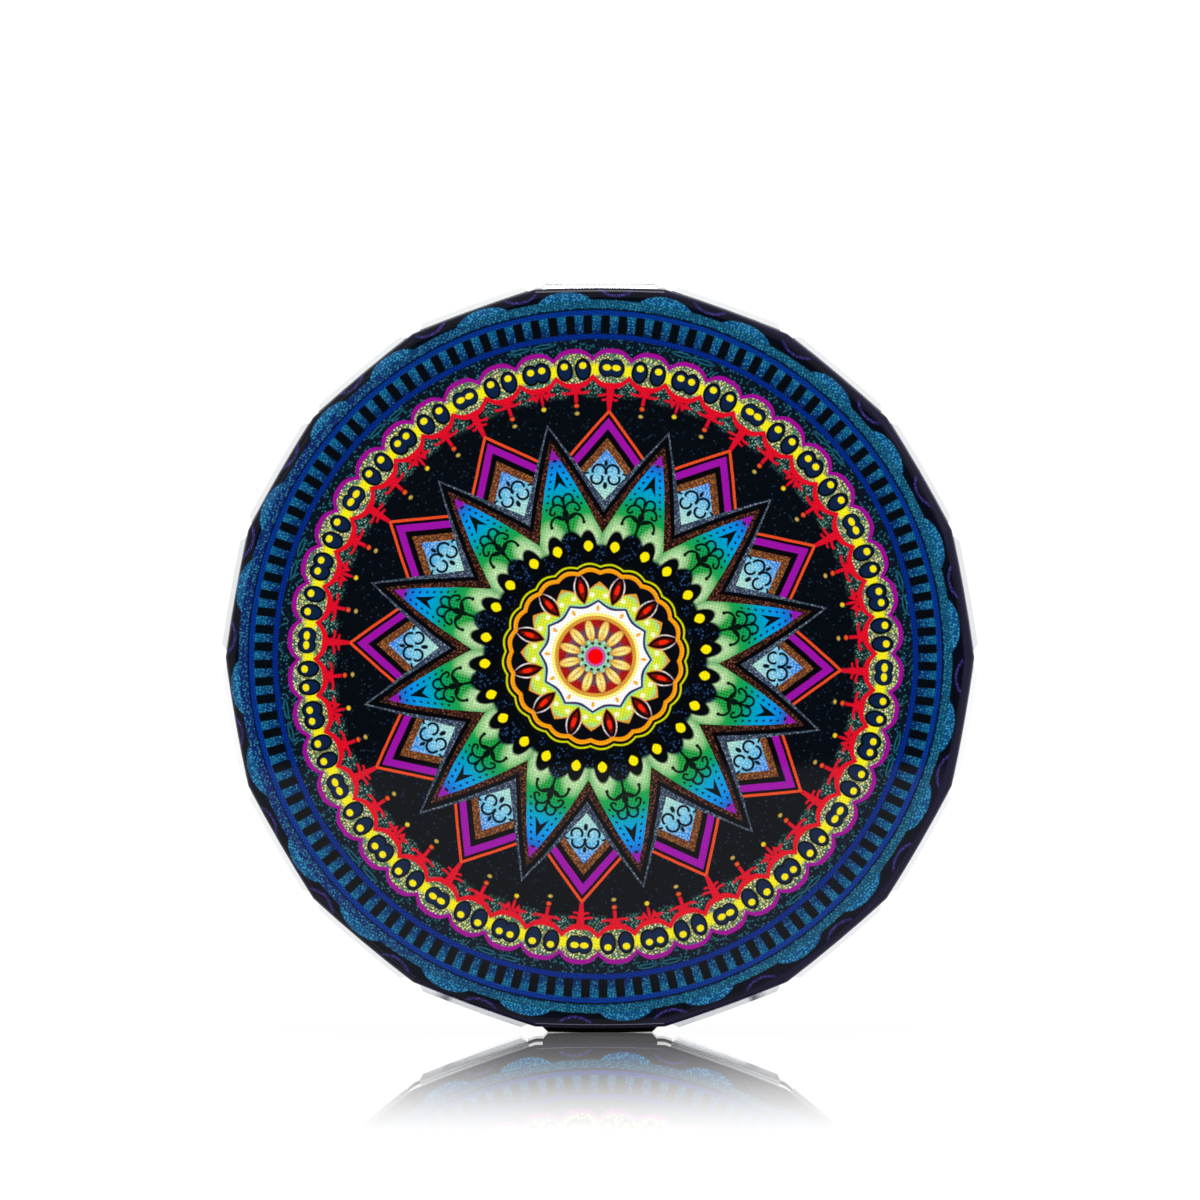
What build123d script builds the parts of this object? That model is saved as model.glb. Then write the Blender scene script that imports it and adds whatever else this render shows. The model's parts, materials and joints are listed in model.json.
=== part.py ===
"""Pocket compact mirror: an 18-sided folding case, closed and standing on its rim.

Two pressed and printed sheet covers sit either side of a girdle ring.  The girdle carries
polished bars, one on each side of the case.  The front cover, its frame and its mirror are
the lid, which opens on a pin along the top side.

Everything is drawn lying down, in the disc's own frame: X to the right, Y up the face, Z
out of the lid's face.  stand() then turns it upright, with the lid towards -Y and the
lowest rim bar on Z = 0.  All sizes are in millimetres.
"""

from build123d import *
from math import cos, pi, radians, sin
import os

# ---- driving dimensions -------------------------------------------------------------
# Case
sides = 18                      # flat sides of the case
across_flats = 60.0             # printed covers, flat to flat
thickness = 13.0                # lid face to back face
lid_depth = 4.0                 # front cover, face to open edge
back_depth = 4.0                # back cover, face to open edge
sheet = 0.4                     # cover sheet
facet_bulge = 0.12              # outward bow of each flat side
corner_radius = 0.8             # at the 18 corners
edge_radius = 0.8               # where the face turns into the skirt
parting_gap = 0.1               # lid edge to girdle

# Girdle ring and its bars
girdle_inset = 0.2              # girdle flats inside the cover flats
girdle_wall = 1.6
spigot_depth = 3.0              # reach into the back cover
seat_clearance = 0.05           # frames and spigot inside their shells
bar_length = 9.4
bar_height = 0.75               # out from the girdle's bowed side, at the bar's ends
bar_bow = 0.08                  # outward bow along the bar
bar_bevel = 0.42
bar_front_margin = 0.3          # girdle front edge to bar
bar_back_margin = 0.4           # bar to back cover
stud_radius = 0.45
stud_spacing = 6.0              # the two studs of one bar
stud_clearance = 0.02
stud_end_gap = 0.1              # stud end short of the girdle's bore

# Mirrors and what holds them
mirror_radius = 23.0
lid_mirror_thickness = 1.5
base_mirror_thickness = 1.8
mirror_dish = 0.5               # depth of the magnifying mirror's hollow
mirror_clearance = 0.15
pad_thickness = 0.5
pad_margin = 0.3                # pad edge inside the mirror edge
bezel_lip = 0.8                 # cover of the mirror's edge
bezel_land = 1.8                # bezel beyond the mirror's edge
bezel_thickness = 0.6
bezel_chamfer = 0.25
frame_setback = 0.1             # frame faces behind the shell edges
base_floor = 1.4
base_pocket_wall = 4.0          # rim of the base frame round its rear pocket

# Hinge on the top side
hinge_drop = 0.35               # pin axis inside the cover flat
barrel_radius = 0.95
barrel_length = 8.9
pin_radius = 0.4
pin_clearance = 0.03
washer_thickness = 0.22
washer_gap = 0.03
washer_radius = 0.75
ear_thickness = 0.57
ear_radius = 0.62
ear_gap = 0.03
leaf_thickness = 0.5
leaf_margin = 0.4               # bezel to the inner end of both leaves
lid_leaf_width = 8.0
leaf_clearance = 0.05
barrel_clearance = 0.15         # barrel to girdle and cover notches
notch_side_gap = 0.1
relief_reach = 1.2              # extra half width of the girdle's shallow relief
relief_depth = 0.4
hinge_bar_gap = 0.25            # narrow bar behind the barrel
rivet_radius = 0.5
rivet_head_radius = 0.8
rivet_head_height = 0.25
rivet_length = 1.8
rivet_spacing = 4.8
rivet_inset = 1.6               # rivets outside the leaves' inner end
rivet_clearance = 0.02

# Magnets and bumpers
magnet_radius = 1.2
magnet_thickness = 1.5
magnet_angle = 14.0             # either side of the bottom
magnet_set_in = 0.05
bumper_radius = 0.8
bumper_root = 0.6               # depth of the bumper's stem in the frame
bumper_gap = 0.05               # to the base frame when shut
bumper_angles = (-30.0, 25.0, 155.0, 210.0)

# Drawing allowances
cut_margin = 1.0                # cutters reach this far past what they cut
join_overlap = 0.3              # pieces of one solid reach this far into each other

# ---- levels and radii that follow ----------------------------------------------------
apothem = across_flats / 2
front_face = thickness / 2
back_face = -thickness / 2
lid_edge = front_face - lid_depth
girdle_front = lid_edge - parting_gap
girdle_shoulder = back_face + back_depth
spigot_end = girdle_shoulder - spigot_depth

girdle_flat = apothem - girdle_inset
girdle_bore = girdle_flat - girdle_wall
shell_bore = apothem - sheet
lid_frame_flat = shell_bore - seat_clearance
spigot_flat = shell_bore - seat_clearance
base_frame_flat = girdle_bore - seat_clearance
bar_crest = girdle_flat + facet_bulge + bar_height + bar_bow

lid_face = lid_edge + frame_setback             # lid's inner face
base_face = girdle_front - frame_setback        # base's inner face
bezel_outer = mirror_radius + bezel_land
bezel_inner = mirror_radius - bezel_lip
leaf_foot = bezel_outer + leaf_margin
rivet_radial = leaf_foot + rivet_inset
land_circle = (bezel_outer + base_frame_flat) / 2   # middle of the land outside the bezels
lid_mirror_front = lid_face + bezel_thickness
lid_mirror_back = lid_mirror_front + lid_mirror_thickness
lid_pad_back = lid_mirror_back + pad_thickness
base_mirror_front = base_face - bezel_thickness
base_mirror_back = base_mirror_front - base_mirror_thickness
base_pad_back = base_mirror_back - pad_thickness

hinge_y = apothem - hinge_drop
hinge_z = (lid_edge + girdle_front) / 2
washer_inner_x = barrel_length / 2 + washer_gap
ear_inner_x = washer_inner_x + washer_thickness + ear_gap
ear_outer_x = ear_inner_x + ear_thickness
notch_half_width = ear_outer_x + notch_side_gap
barrel_room = barrel_radius + barrel_clearance

bar_front = girdle_front - bar_front_margin
bar_back = girdle_shoulder + bar_back_margin
hinge_bar_front = hinge_z - barrel_room - hinge_bar_gap
facet_step = 360.0 / sides
top_angle = 90.0


def stand(shape):
    """Turn a lying piece upright on its lowest bar, lid face towards -Y."""
    return Pos(0, 0, bar_crest) * Rot(90, 0, 0) * shape


def outline(flat_distance, corner, bulge=facet_bulge):
    """Face with one bowed side per facet, flat_distance from the centre, corners rounded."""
    reach = flat_distance / cos(pi / sides)
    arcs = []
    for k in range(sides):
        start = radians(top_angle + (k - 0.5) * facet_step)
        middle = radians(top_angle + k * facet_step)
        end = radians(top_angle + (k + 0.5) * facet_step)
        crest = flat_distance + bulge
        arcs.append(ThreePointArc(
            (reach * cos(start), reach * sin(start)),
            (crest * cos(middle), crest * sin(middle)),
            (reach * cos(end), reach * sin(end)),
        ))
    face = make_face(Curve() + arcs)
    return fillet(face.vertices(), corner)


def prism(flat_distance, low, high, corner=corner_radius):
    """18-sided block between two levels."""
    return Pos(0, 0, low) * extrude(outline(flat_distance, corner), high - low)


def disc(radius, low, high, x=0.0, y=0.0):
    """Round block between two levels."""
    return Pos(x, y, (low + high) / 2) * Cylinder(radius, high - low)


def block(x_half, y_low, y_high, low, high):
    """Box that is centred on X."""
    centre = Pos(0, (y_low + y_high) / 2, (low + high) / 2)
    return centre * Box(2 * x_half, y_high - y_low, high - low)


def along_x(radius, x_low, x_high):
    """Round block on the hinge axis."""
    centre = Pos((x_low + x_high) / 2, hinge_y, hinge_z)
    return centre * Rot(0, 90, 0) * Cylinder(radius, x_high - x_low)


def both_sides(piece):
    """A piece and its mirror image across X = 0."""
    return piece + mirror(piece, Plane.YZ)


def pressed_cover(depth):
    """Sheet cup with its face up at Z = depth and its open edge at Z = 0."""
    outer = prism(apothem, 0, depth)
    outer = fillet(outer.faces().sort_by(Axis.Z)[-1].edges(), edge_radius)
    inner = prism(shell_bore, 0, depth - sheet, corner_radius - sheet)
    inner = fillet(inner.faces().sort_by(Axis.Z)[-1].edges(), edge_radius - sheet)
    return outer - inner


# ---- covers --------------------------------------------------------------------------
def make_lid_cover():
    cover = Pos(0, 0, lid_edge) * pressed_cover(lid_depth)
    notch = block(notch_half_width, hinge_y - barrel_room, apothem + cut_margin,
                  lid_edge - cut_margin, hinge_z + barrel_room)
    return cover - notch


def make_back_cover():
    return Pos(0, 0, girdle_shoulder) * Rot(180, 0, 0) * pressed_cover(back_depth)


# ---- girdle and bars -----------------------------------------------------------------
def facet_angle(k):
    """Turn that carries a piece from the top side to side k."""
    return Rot(0, 0, k * facet_step)


def stud_pair(radius, low, high, level):
    """Two radial pins on the top side, from low to high out of the centre."""
    pin = Pos(stud_spacing / 2, (low + high) / 2, level) * Rot(90, 0, 0)
    return both_sides(pin * Cylinder(radius, high - low))


def bar_level(k):
    """Level of the middle of side k's bar: the one behind the hinge is narrower."""
    front = hinge_bar_front if k == 0 else bar_front
    return (front + bar_back) / 2


def make_girdle_ring():
    ring = prism(girdle_flat, girdle_shoulder, girdle_front)
    ring += prism(spigot_flat, spigot_end, girdle_shoulder)
    ring -= prism(girdle_bore, spigot_end - cut_margin, girdle_front + cut_margin)
    for k in range(sides):
        holes = stud_pair(stud_radius + stud_clearance, girdle_bore - cut_margin,
                          girdle_flat + cut_margin, bar_level(k))
        ring -= facet_angle(k) * holes
    ring -= block(notch_half_width, girdle_bore - cut_margin, apothem + cut_margin,
                  hinge_z - barrel_room, girdle_front + cut_margin)
    relief_low = hinge_y - hinge_drop - relief_depth
    ring -= block(notch_half_width + relief_reach, relief_low, apothem + cut_margin,
                  girdle_front - relief_depth, girdle_front + cut_margin)
    return ring


def rim_bar(front):
    """One polished bar on the top side: bowed outwards, bevelled on its four outer edges."""
    half = bar_length / 2
    crest = bar_height + bar_bow
    bow = ThreePointArc((half, bar_height), (0, crest), (-half, bar_height))
    frame = Polyline((-half, bar_height), (-half, 0), (half, 0), (half, bar_height))
    profile = make_face(Curve() + [bow, frame])
    bar = Pos(0, girdle_flat + facet_bulge, bar_back) * extrude(profile, front - bar_back)
    outer_face = bar.faces().sort_by(Axis.Y)[-1]
    bar = chamfer(outer_face.edges(), bar_bevel)
    seat = prism(girdle_flat, bar_back - cut_margin, front + cut_margin)
    foot = block(half, girdle_bore, girdle_flat + facet_bulge + join_overlap, bar_back, front) - seat
    studs = stud_pair(stud_radius, girdle_bore + stud_end_gap, girdle_flat + join_overlap,
                      (front + bar_back) / 2)
    return bar + foot + studs


def make_rim_bars():
    wide = rim_bar(bar_front)
    narrow = rim_bar(hinge_bar_front)
    return [facet_angle(k) * (narrow if k == 0 else wide) for k in range(sides)]


# ---- frames --------------------------------------------------------------------------
def magnet_places():
    """Centres of the two magnets, either side of the bottom."""
    turns = [radians(-90 - magnet_angle), radians(-90 + magnet_angle)]
    return [(land_circle * cos(t), land_circle * sin(t)) for t in turns]


def rivet_places():
    return [(-rivet_spacing / 2, rivet_radial), (rivet_spacing / 2, rivet_radial)]


def bumper_places():
    turns = [radians(a) for a in bumper_angles]
    return [(land_circle * cos(t), land_circle * sin(t)) for t in turns]


def make_lid_frame():
    frame = prism(lid_frame_flat, lid_face, front_face - sheet)
    rim = frame.faces().sort_by(Axis.Z)[-1].edges()
    frame = chamfer(rim, edge_radius - sheet)
    below = lid_face - cut_margin
    frame -= disc(mirror_radius + mirror_clearance, below, lid_pad_back)
    frame -= disc(bezel_outer + seat_clearance, below, lid_mirror_front)
    frame -= block(lid_leaf_width / 2 + leaf_clearance, leaf_foot - leaf_clearance, apothem + cut_margin,
                   below, lid_face + leaf_thickness)
    frame -= block(notch_half_width, hinge_y - barrel_room, apothem + cut_margin, below,
                   hinge_z + barrel_room)
    for x, y in magnet_places():
        frame -= disc(magnet_radius, below, lid_face + magnet_set_in + magnet_thickness, x, y)
    for x, y in rivet_places():
        frame -= disc(rivet_radius, below, lid_face + rivet_length, x, y)
    for x, y in bumper_places():
        frame -= disc(bumper_radius, below, lid_face + bumper_root, x, y)
    return frame


def make_base_frame():
    frame = prism(base_frame_flat, spigot_end, base_face)
    above = base_face + cut_margin
    frame -= disc(mirror_radius + mirror_clearance, base_pad_back, above)
    frame -= disc(bezel_outer + seat_clearance, base_mirror_front, above)
    frame -= disc(base_frame_flat - base_pocket_wall, spigot_end - cut_margin, base_pad_back - base_floor)
    frame -= block(ear_outer_x + leaf_clearance, leaf_foot - leaf_clearance, apothem + cut_margin,
                   base_face - leaf_thickness, above)
    for x, y in magnet_places():
        frame -= disc(magnet_radius, base_face - magnet_set_in - magnet_thickness, above, x, y)
    for x, y in rivet_places():
        frame -= disc(rivet_radius, base_face - rivet_length, above, x, y)
    return frame


def make_magnets(face, inward):
    """Two discs set just below a face; inward is the sign of Z into the frame."""
    near = face + inward * magnet_set_in
    far = near + inward * magnet_thickness
    return [disc(magnet_radius, min(near, far), max(near, far), x, y) for x, y in magnet_places()]


def make_bumpers():
    """Soft domes that keep the two frames apart when the lid is shut."""
    height = lid_face - base_face - bumper_gap
    ball = (bumper_radius ** 2 + height ** 2) / (2 * height)
    bumpers = []
    for x, y in bumper_places():
        dome = Pos(x, y, lid_face - height + ball) * Sphere(ball)
        dome &= disc(bumper_radius, lid_face - height - cut_margin, lid_face, x, y)
        bumpers.append(dome + disc(bumper_radius, lid_face, lid_face + bumper_root, x, y))
    return bumpers


# ---- mirrors -------------------------------------------------------------------------
def make_base_mirror():
    """Magnifying mirror: a round glass with a shallow spherical hollow."""
    glass = disc(mirror_radius, base_mirror_back, base_mirror_front)
    ball = (bezel_inner ** 2 + mirror_dish ** 2) / (2 * mirror_dish)
    centre = base_mirror_front - mirror_dish + ball
    return glass - Pos(0, 0, centre) * Sphere(ball)


def make_bezel(low, high, open_side):
    """Retaining ring whose inner edge is chamfered on the side that is seen."""
    ring = disc(bezel_outer, low, high) - disc(bezel_inner, low - cut_margin, high + cut_margin)
    seen = ring.edges().filter_by(GeomType.CIRCLE)
    seen = [e for e in seen if abs(e.center().Z - open_side) < bezel_chamfer and e.radius < mirror_radius]
    return chamfer(seen, bezel_chamfer)


# ---- hinge ---------------------------------------------------------------------------
def rivet_holes(leaf, face, inward):
    """Drill and counterbore a leaf; inward is the sign of Z into the frame."""
    for x, y in rivet_places():
        hole = rivet_radius + rivet_clearance
        leaf -= disc(hole, face - leaf_thickness - cut_margin, face + leaf_thickness + cut_margin, x, y)
        bottom = face + inward * rivet_head_height
        outside = face - inward * cut_margin
        head = rivet_head_radius + rivet_clearance
        leaf -= disc(head, min(bottom, outside), max(bottom, outside), x, y)
    return leaf


def make_lid_leaf():
    leaf = block(lid_leaf_width / 2, leaf_foot, hinge_y, lid_face, lid_face + leaf_thickness)
    leaf = rivet_holes(leaf, lid_face, 1)
    leaf += along_x(barrel_radius, -barrel_length / 2, barrel_length / 2)
    return leaf - along_x(pin_radius + pin_clearance, -barrel_length, barrel_length)


def make_base_leaf():
    plate_end = hinge_y - barrel_room
    leaf = block(ear_outer_x, leaf_foot, plate_end, base_face - leaf_thickness, base_face)
    leaf = rivet_holes(leaf, base_face, -1)
    ear = along_x(ear_radius, ear_inner_x, ear_outer_x)
    arm_x = (ear_inner_x + ear_outer_x) / 2
    arm_foot = plate_end - join_overlap
    arm = Pos(arm_x, (arm_foot + hinge_y) / 2, base_face - leaf_thickness / 2)
    ear += arm * Box(ear_thickness, hinge_y - arm_foot, leaf_thickness)
    leaf += both_sides(ear)
    return leaf - along_x(pin_radius, -2 * ear_outer_x, 2 * ear_outer_x)


def make_hinge_pin():
    return along_x(pin_radius, -ear_outer_x, ear_outer_x)


def make_washers():
    washer = along_x(washer_radius, washer_inner_x, washer_inner_x + washer_thickness)
    washer -= along_x(pin_radius, 0, 2 * washer_inner_x)
    return [washer, mirror(washer, Plane.YZ)]


def make_rivets(face, inward):
    """Two flush rivets that hold a leaf to its frame."""
    rivets = []
    for x, y in rivet_places():
        under = face + inward * rivet_head_height
        tip = face + inward * rivet_length
        rivet = disc(rivet_head_radius, min(face, under), max(face, under), x, y)
        rivet += disc(rivet_radius, min(under, tip), max(under, tip), x, y)
        rivets.append(rivet)
    return rivets


# ---- every node ----------------------------------------------------------------------
pad_radius = mirror_radius - pad_margin
nodes = {
    "lid_cover": [make_lid_cover()],
    "lid_frame": [make_lid_frame()],
    "lid_mirror_pad": [disc(pad_radius, lid_mirror_back, lid_pad_back)],
    "lid_mirror": [disc(mirror_radius, lid_mirror_front, lid_mirror_back)],
    "lid_bezel": [make_bezel(lid_face, lid_mirror_front, lid_face)],
    "lid_magnets": make_magnets(lid_face, 1),
    "lid_bumpers": make_bumpers(),
    "lid_hinge_leaf": [make_lid_leaf()],
    "lid_hinge_rivets": make_rivets(lid_face, 1),
    "girdle_ring": [make_girdle_ring()],
    "rim_bars": make_rim_bars(),
    "back_cover": [make_back_cover()],
    "base_frame": [make_base_frame()],
    "base_mirror_pad": [disc(pad_radius, base_pad_back, base_mirror_back)],
    "base_mirror": [make_base_mirror()],
    "base_bezel": [make_bezel(base_mirror_front, base_face, base_face)],
    "base_magnets": make_magnets(base_face, -1),
    "base_hinge_leaf": [make_base_leaf()],
    "base_hinge_rivets": make_rivets(base_face, -1),
    "hinge_pin": [make_hinge_pin()],
    "hinge_washers": make_washers(),
}

os.makedirs("parts", exist_ok=True)
for name, pieces in nodes.items():
    solids = [stand(solid) for piece in pieces for solid in piece.solids()]
    shape = solids[0] if len(solids) == 1 else Compound(children=solids)
    export_step(shape, f"parts/{name}.step")

print(f"stands {2 * bar_crest:.2f} high, {thickness:.2f} deep")
print(f"hinge axis at Y {-hinge_z:.3f}, Z {hinge_y + bar_crest:.3f}")
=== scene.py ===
import json
from math import degrees, pi, radians

import bmesh
import bpy
from mathutils import Matrix, Vector


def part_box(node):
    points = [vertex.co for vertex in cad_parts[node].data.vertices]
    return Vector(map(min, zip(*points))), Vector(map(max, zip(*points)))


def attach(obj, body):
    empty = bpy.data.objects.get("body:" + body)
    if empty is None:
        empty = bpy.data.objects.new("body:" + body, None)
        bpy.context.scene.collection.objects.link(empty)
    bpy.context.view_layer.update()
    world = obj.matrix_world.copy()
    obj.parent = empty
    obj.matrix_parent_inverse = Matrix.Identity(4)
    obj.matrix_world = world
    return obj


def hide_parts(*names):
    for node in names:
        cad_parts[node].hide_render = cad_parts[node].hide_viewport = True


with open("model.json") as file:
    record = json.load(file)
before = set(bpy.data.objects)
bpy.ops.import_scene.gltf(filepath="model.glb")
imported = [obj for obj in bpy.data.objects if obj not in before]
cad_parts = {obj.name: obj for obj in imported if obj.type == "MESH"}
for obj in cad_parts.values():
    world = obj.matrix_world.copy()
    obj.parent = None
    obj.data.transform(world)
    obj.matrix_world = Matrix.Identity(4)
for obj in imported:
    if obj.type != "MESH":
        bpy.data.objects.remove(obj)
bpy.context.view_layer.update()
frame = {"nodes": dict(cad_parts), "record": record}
nodes = frame["nodes"]
print("frame loaded:", len(nodes), "pieces")

mm = 0.001
coverLow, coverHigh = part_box("lid_cover")
caseMiddle = (coverLow + coverHigh) / 2  # across X and Z this is the middle of the case


def paint(code):  # a screen colour as the linear colour that a socket takes
    parts = [int(code[i:i + 2], 16) / 255 for i in (0, 2, 4)]
    return tuple(p / 12.92 if p <= 0.04045 else ((p + 0.055) / 1.055) ** 2.4 for p in parts) + (1.0,)


def plug(tree, value, socket):  # a wire is linked, a colour code or a number is set
    if isinstance(value, Wire):
        tree.links.new(value.socket, socket)
    else:
        socket.default_value = paint(value) if isinstance(value, str) else value


class Wire:  # a value in a material, written like a number
    def __init__(self, tree, socket):
        self.tree = tree
        self.socket = socket

    def apply(self, operation, *values, clamp=False):
        made = self.tree.nodes.new("ShaderNodeMath")
        made.operation = operation
        made.use_clamp = clamp
        for place, value in enumerate(values):
            plug(self.tree, value, made.inputs[place])
        return Wire(self.tree, made.outputs[0])

    def __add__(self, other):
        return self.apply("ADD", self, other)

    def __sub__(self, other):
        return self.apply("SUBTRACT", self, other)

    def __rsub__(self, other):
        return self.apply("SUBTRACT", other, self)

    def __mul__(self, other):
        return self.apply("MULTIPLY", self, other)

    __radd__ = __add__

    def __abs__(self):
        return self.apply("ABSOLUTE", self)

    def scaled(self, factor, offset, clamp=False):
        return self.apply("MULTIPLY_ADD", self, factor, offset, clamp=clamp)

    def fold(self, width):  # 0 at 0, rising to width, and back
        return self.apply("PINGPONG", self, width)

    def power(self, exponent):
        return self.apply("POWER", self, exponent)

    def sine(self):
        return self.apply("SINE", self)

    def cosine(self):
        return self.apply("COSINE", self)

    def root(self):
        return self.apply("SQRT", self)

    def higher(self, other):
        return self.apply("MAXIMUM", self, other)


def newMaterial(name, **settings):
    material = bpy.data.materials.new(name)
    material.use_nodes = True
    tree = material.node_tree
    shader = tree.nodes["Principled BSDF"]
    for key, value in settings.items():
        shader.inputs[key.replace("_", " ")].default_value = value
    return material, tree, shader


def objectPlace(tree, scale=1 / mm):  # object coordinates, in millimetres unless told otherwise
    place = tree.nodes.new("ShaderNodeTexCoord")
    mapping = tree.nodes.new("ShaderNodeMapping")
    mapping.inputs["Scale"].default_value = (scale,) * 3
    tree.links.new(place.outputs["Object"], mapping.inputs["Vector"])
    return Wire(tree, mapping.outputs["Vector"])


def axes(place):  # the x, y and z of a place
    made = place.tree.nodes.new("ShaderNodeSeparateXYZ")
    place.tree.links.new(place.socket, made.inputs[0])
    return [Wire(place.tree, end) for end in made.outputs]


def noise(place, scale, detail=2.0, rough=0.5):
    made = place.tree.nodes.new("ShaderNodeTexNoise")
    made.inputs["Scale"].default_value = scale
    made.inputs["Detail"].default_value = detail
    made.inputs["Roughness"].default_value = rough
    place.tree.links.new(place.socket, made.inputs["Vector"])
    return Wire(place.tree, made.outputs["Fac"])


def bump(shader, height, depth):  # depth in mm
    made = height.tree.nodes.new("ShaderNodeBump")
    made.inputs["Distance"].default_value = depth * mm
    height.tree.links.new(height.socket, made.inputs["Height"])
    height.tree.links.new(made.outputs["Normal"], shader.inputs["Normal"])


def lay(under, over, mask):  # one colour over another, where the mask says
    made = mask.tree.nodes.new("ShaderNodeMix")
    made.data_type = "RGBA"
    for place, value in (0, mask), (6, under), (7, over):  # factor and the two colours
        plug(mask.tree, value, made.inputs[place])
    return Wire(mask.tree, made.outputs[2])


def ramp(value, stops):  # a colour for each place along a value
    made = value.tree.nodes.new("ShaderNodeValToRGB")
    start, length = stops[0][0], stops[-1][0] - stops[0][0]
    share = value.scaled(1 / length, -start / length)
    value.tree.links.new(share.socket, made.inputs["Fac"])
    line = made.color_ramp.elements
    line.remove(line[1])
    line[0].position = 0
    line[0].color = paint(stops[0][1])
    for at, colour in stops[1:]:
        line.new((at - start) / length).color = paint(colour)
    return Wire(value.tree, made.outputs["Color"])


def spread(value, low, high):  # 0 below low, 1 above high
    return value.scaled(1 / (high - low), -low / (high - low), clamp=True)


# The print on the covers is twelve-fold. Its places are in mm from its middle, and an oval is given
# by its place along the axis, its half width and its half length.
printed = {
    "right": -0.37, "up": 0.12, "turn": 3.2,     # where it sits on the case, in mm and degrees
    "step": 30.0,                                # degrees from one repeat to the next
    "lensTurn": 6.8,                             # degrees from a diamond's axis to a black oval
    "beadTurn": 7.5,                             # degrees from one bead pair to the next
    "soft": 0.075, "penSoft": 0.1,               # width of an edge between two inks, and of a pen line's end
    "wander": 0.10, "wanderX": 0.45, "wanderZ": 0.37,  # how far the lines stray from true, and how often
    "dotPitch": 0.338, "screenTurn": 33.0, "screen": 0.24,  # halftone: two dots to a wave, turned, how strong
    "inkDot": 0.20, "scatter": 0.75,             # stray ink dots of the speckled parts
    "dotEdge": 0.40, "dotSoft": 0.26, "missing": 0.55,
    "heartEdge": 7.76, "heartSoft": 0.15,        # what is inside this is drawn by itself
    "ink": "070a0f",
}


def inside(distance, soft=printed["soft"]):  # 1 where a distance is below zero
    return distance.scaled(-1 / soft, 0.5, clamp=True)


def within(value, limit, soft=printed["soft"]):
    return inside(value - limit, soft)


def beyond(value, limit, soft=printed["soft"]):
    return inside(limit - value, soft)


def stripe(value, low, high, soft=printed["soft"]):
    return inside(abs(value - (low + high) / 2) - (high - low) / 2, soft)


def together(*parts):  # where any of them is
    whole = parts[0]
    for part in parts[1:]:
        whole = whole.higher(part)
    return whole


def farOut(u, v):  # distance from where u and v are zero
    return u.scaled(u, v * v).root()


def alongRing(turn, r):  # degrees round a ring as mm along it
    return turn * radians(1) * r


def oval(x, y, at, halfX, halfY, soft=printed["soft"]):
    u = x * (1 / halfX)
    v = y.scaled(1 / halfY, -at / halfY)
    return inside((u.scaled(u, v * v) - 1) * (min(halfX, halfY) / 2), soft)


def arch(x, y, atX, atY, radius, half):  # part of a ring, drawn with a pen of that half width
    return inside(abs(farOut(x - atX, y - atY) - radius) - half)


def branch(x, y, ring, endX, endY):  # what a pen ring leaves inside both ends
    return arch(x, y, *ring) * within(x, endX, printed["penSoft"]) * within(y, endY, printed["penSoft"])


def printPlaces(tree):  # the folded coordinates that every ring of the print is drawn in
    place = objectPlace(tree)
    caseX, _, caseZ = axes(place)
    strayX = noise(place, printed["wanderX"])
    strayZ = noise(place, printed["wanderZ"])
    wander = printed["wander"]
    x = strayX.scaled(wander, caseX - (caseMiddle.x / mm + printed["right"] + wander / 2))
    z = strayZ.scaled(wander, caseZ - (caseMiddle.z / mm + printed["up"] + wander / 2))
    r = farOut(x, z)
    angle = x.apply("ARCTAN2", x, z).scaled(degrees(1), 720 - printed["turn"])  # 720 keeps it positive
    d = angle.fold(printed["step"] / 2)  # degrees from a diamond's axis
    p = printed["step"] / 2 - d          # degrees from a petal's axis
    turnD = d * radians(1)
    turnP = p * radians(1)
    turned = tree.nodes.new("ShaderNodeVectorRotate")
    turned.rotation_type = "Y_AXIS"
    turned.inputs["Angle"].default_value = radians(printed["screenTurn"])
    tree.links.new(place.socket, turned.inputs["Vector"])
    screen = Wire(tree, turned.outputs[0])
    screenX, _, screenZ = axes(screen)
    wave = 2 * pi / printed["dotPitch"]
    cells = tree.nodes.new("ShaderNodeTexVoronoi")
    cells.inputs["Scale"].default_value = 1 / printed["inkDot"]
    cells.inputs["Randomness"].default_value = printed["scatter"]
    tree.links.new(screen.socket, cells.inputs["Vector"])
    luck = tree.nodes.new("ShaderNodeSeparateColor")
    tree.links.new(cells.outputs["Color"], luck.inputs[0])
    chance, hue = (Wire(tree, end) for end in luck.outputs[:2])
    fromDot = Wire(tree, cells.outputs["Distance"])
    speck = within(fromDot, printed["dotEdge"], printed["dotSoft"])  # 1 on an ink dot
    return {
        "dots": (screenX * wave).sine() * (screenZ * wave).sine(),
        "place": place, "x": x, "r": r, "angle": angle, "d": d, "p": p,
        "xD": r * turnD.sine(), "yD": r * turnD.cosine(),
        "xP": r * turnP.sine(), "yP": r * turnP.cosine(),
        "speck": speck, "chance": chance, "hue": hue,
        "speckle": 1 - speck * spread(chance, 0.0, printed["missing"]),
    }


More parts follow.
